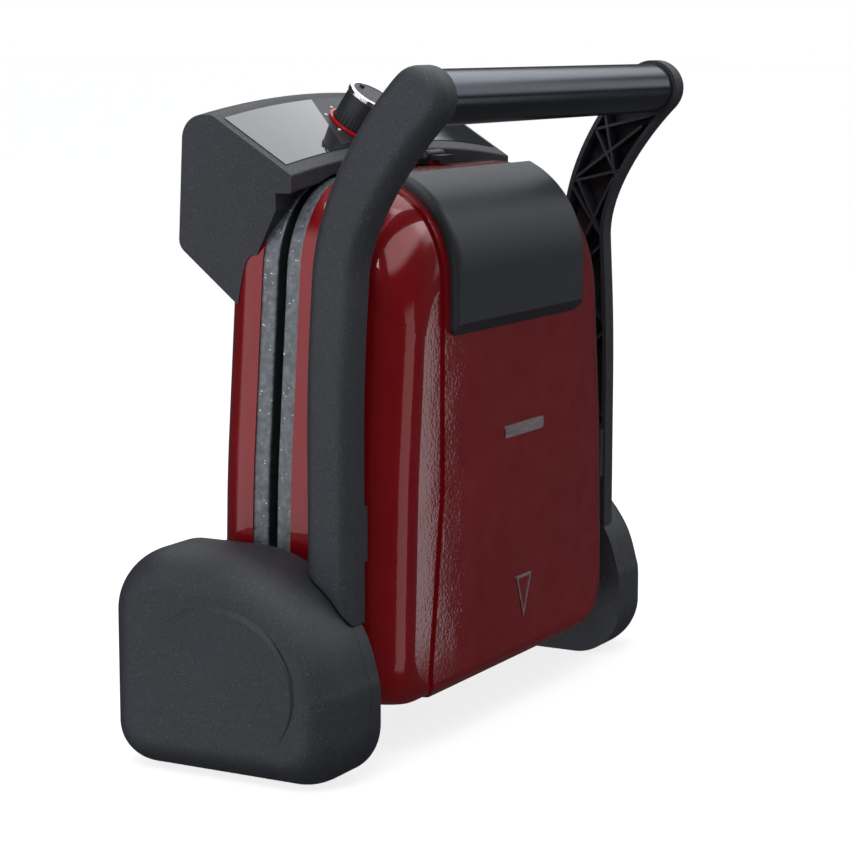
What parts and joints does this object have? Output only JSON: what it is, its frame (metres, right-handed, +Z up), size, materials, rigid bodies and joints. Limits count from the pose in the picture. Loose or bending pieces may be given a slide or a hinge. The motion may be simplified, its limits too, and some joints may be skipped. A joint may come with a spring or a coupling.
{
  "type": "contact grill",
  "caption": "Upright-stored contact grill: glossy shells, speckled hinged plates, U-shaped lift handle, side hinge pods and a sloped control box with a ribbed knob.",
  "frame": {"origin": "middle of the overall box, on the floor the hinge pods stand on", "axes": "+X along the handle bar, -Y out of the lid's front, +Y out of the base's underside, +Z up"},
  "size_m": [0.3964, 0.1808, 0.366],
  "materials": {
    "red_paint": "high gloss enamel over pressed sheet",
    "black_texture": "fine spark-eroded texture",
    "black_satin": "smooth satin",
    "black_gloss": "high gloss",
    "black_anodised": "dark anodised, satin",
    "granite": "speckled non-stick coating on cast plate",
    "steel": "bare sheet and rod",
    "chrome": "polished",
    "badge": "satin",
    "red_lens": "translucent lens",
    "mark_white": "printed",
    "rubber": "moulded",
    "ceramic": "unglazed"
  },
  "bodies": {
    "base": {"base_shell": "red_paint", "base_bottom_cover": "black_texture", "base_grill_plate": "granite", "base_heater": "steel", "base_reflector": "steel", "base_screws": "steel", "control_box": "black_texture", "panel_centre": "black_satin", "control_panel": "black_gloss", "indicator_lamps": "red_lens", "dial_marks": "mark_white", "dial_ring": "red_lens", "thermostat": "ceramic", "lock_pin": "steel", "pod_cover_right": "black_texture", "pod_cover_left": "black_texture", "pod_housing_right": "black_texture", "pod_housing_left": "black_texture", "pod_screws": "steel", "hinge_pins": "steel", "counter_feet": "rubber", "cord_inlet": "rubber", "terminal_block": "ceramic", "thermal_fuse": "ceramic"},
    "handle": {"arm_left": "black_texture", "arm_right": "black_texture", "handle_bar": "black_anodised", "bar_plugs": "black_satin"},
    "lid": {"lid_shell": "red_paint", "lid_frame": "black_satin", "lid_grill_plate": "granite", "lid_heater": "steel", "lid_reflector": "steel", "rest_pad": "black_satin", "lid_badge": "badge", "lid_trunnions": "steel", "lid_screws": "steel"},
    "knob": {"knob_grip": "black_satin", "knob_ring": "chrome", "knob_cap": "black_satin", "knob_shaft": "steel"},
    "hook": {"lock_hook": "black_satin"}
  },
  "joints": [
    {"name": "handle_lift", "type": "hinge", "parent": "base", "child": "handle", "pos_m": [0, 0.02, 0.0255], "axis": [1, 0, 0], "range_deg": [0, 180]},
    {"name": "lid_float", "type": "hinge", "parent": "handle", "child": "lid", "pos_m": [0, -0.016, 0.069], "axis": [1, 0, 0], "range_deg": [0, 5]},
    {"name": "knob_turn", "type": "hinge", "parent": "base", "child": "knob", "pos_m": [-0.022, 0.03367, 0.32951], "axis": [0, -0.5274, 0.8496], "range_deg": [0, 270]},
    {"name": "hook_lift", "type": "hinge", "parent": "base", "child": "hook", "pos_m": [0.022, 0.0099, 0.3138], "axis": [-1, 0, 0], "range_deg": [0, 75]}
  ]
}
